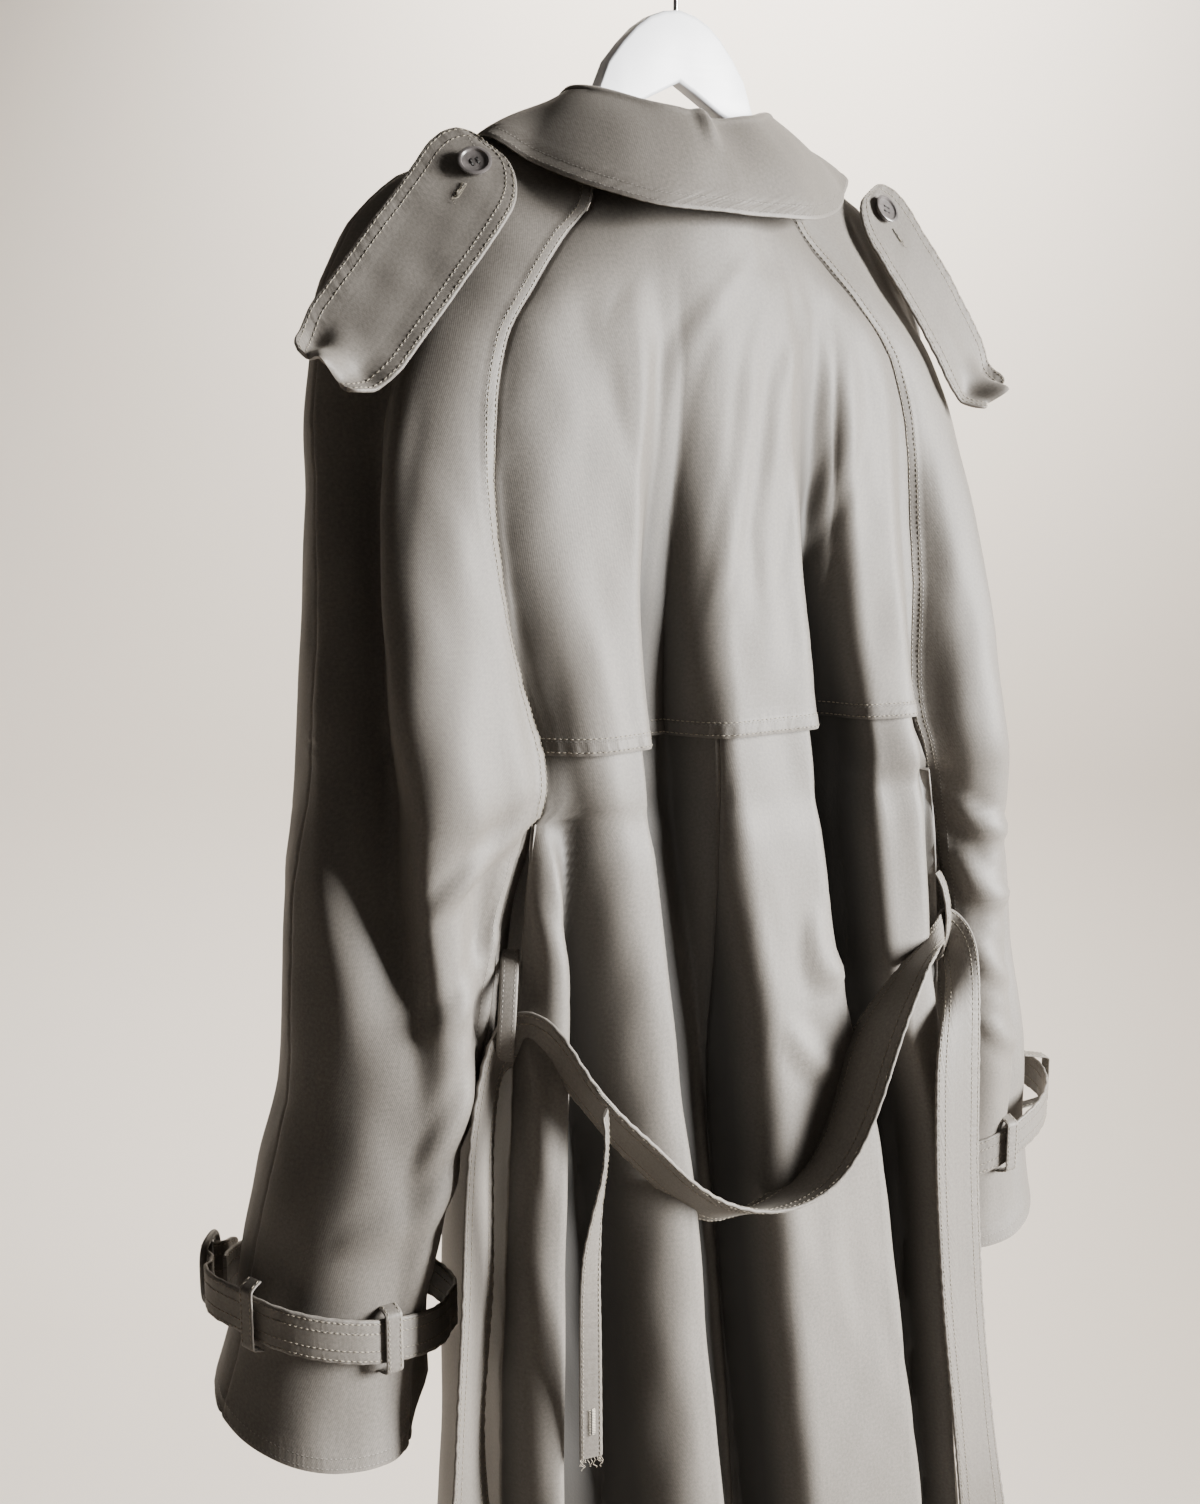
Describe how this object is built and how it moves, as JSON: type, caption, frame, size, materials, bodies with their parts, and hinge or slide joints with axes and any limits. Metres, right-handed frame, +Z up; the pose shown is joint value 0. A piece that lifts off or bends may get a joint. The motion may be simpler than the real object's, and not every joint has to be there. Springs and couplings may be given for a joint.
{
  "type": "trench coat on hanger",
  "caption": "Long raglan trench coat with storm shield, epaulettes, hanging belt and cuff straps, on a flat white wooden hanger.",
  "frame": {"origin": "inside top of the hanger's hook, where it hangs on a rail", "axes": "+Z up; the back of the coat faces -Y; +X is the wearer's right"},
  "size_m": [0.6898, 0.2719, 1.3135],
  "materials": {
    "coat_twill": "satin",
    "twill_underside": "matte",
    "button_horn": "satin",
    "white_paint": "satin",
    "hook_steel": "polished",
    "buckle_leather": "satin"
  },
  "bodies": {
    "root": {"back_left": "coat_twill", "back_right": "coat_twill", "belt": "coat_twill", "belt_buckle": "buckle_leather", "belt_loop_left": "coat_twill", "belt_loop_right": "coat_twill", "belt_tab": "coat_twill", "collar": "coat_twill", "cuff_buckle_left": "buckle_leather", "cuff_buckle_right": "buckle_leather", "cuff_loop_left_1": "coat_twill", "cuff_loop_left_2": "coat_twill", "cuff_loop_right_1": "coat_twill", "cuff_loop_right_2": "coat_twill", "cuff_strap_left": "coat_twill", "cuff_strap_right": "coat_twill", "epaulette_button_left": "button_horn", "epaulette_button_right": "button_horn", "epaulette_left": "coat_twill", "epaulette_right": "coat_twill", "front_button_inner_1": "button_horn", "front_button_inner_2": "button_horn", "front_button_inner_3": "button_horn", "front_button_inner_4": "button_horn", "front_button_outer_1": "button_horn", "front_button_outer_2": "button_horn", "front_button_outer_3": "button_horn", "front_button_outer_4": "button_horn", "front_left": "coat_twill", "front_right": "coat_twill", "hanger": "white_paint", "hook": "hook_steel", "lapel_left": "coat_twill", "lapel_right": "coat_twill", "sleeve_left_back": "coat_twill", "sleeve_left_front": "coat_twill", "sleeve_right_back": "coat_twill", "sleeve_right_front": "coat_twill", "storm_shield": "coat_twill", "vent_lap": "twill_underside"}
  },
  "joints": []
}
